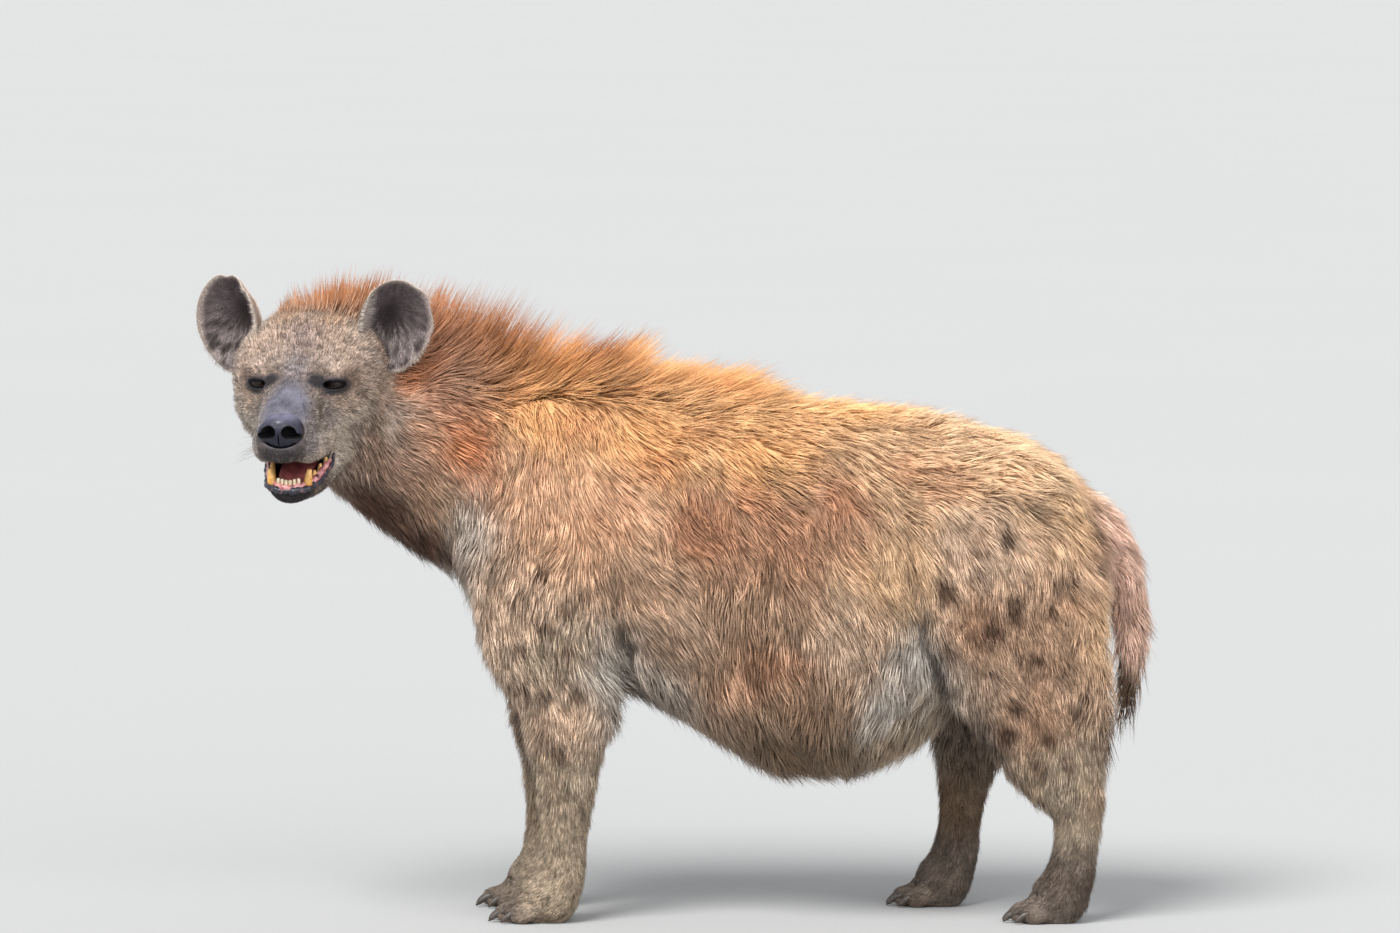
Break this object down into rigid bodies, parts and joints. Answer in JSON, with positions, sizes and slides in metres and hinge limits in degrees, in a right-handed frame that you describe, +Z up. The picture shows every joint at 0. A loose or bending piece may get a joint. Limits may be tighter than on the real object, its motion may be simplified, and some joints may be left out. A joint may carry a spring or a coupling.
{
  "type": "spotted hyena",
  "caption": "Life-size still model of an adult spotted hyena, standing with its head turned to its left and its mouth open.",
  "frame": {"origin": "on the floor, midway along the model's length and midway across its width", "axes": "+X from the head end to the tail, -Y out of the hyena's left flank, +Z up"},
  "size_m": [1.3748, 0.5132, 0.9228],
  "materials": {
    "face": "short grey-tan fur, dark bare muzzle",
    "tongue": "wet, smooth",
    "eye": "wet, glossy",
    "ear": "thin skin with sparse pale hair",
    "mane": "long rust-coloured fur",
    "coat": "shaggy sandy fur with dark spots",
    "leg_coat": "short grey-brown fur",
    "tail_brush": "long dark brown hair"
  },
  "bodies": {
    "root": {"head": "face", "tongue": "tongue", "eye_left": "eye", "eye_right": "eye", "ear_left": "ear", "ear_right": "ear", "neck": "mane", "torso": "coat", "foreleg_left": "leg_coat", "foreleg_right": "leg_coat", "hindleg_left": "leg_coat", "hindleg_right": "leg_coat", "tail": "tail_brush"}
  },
  "joints": []
}
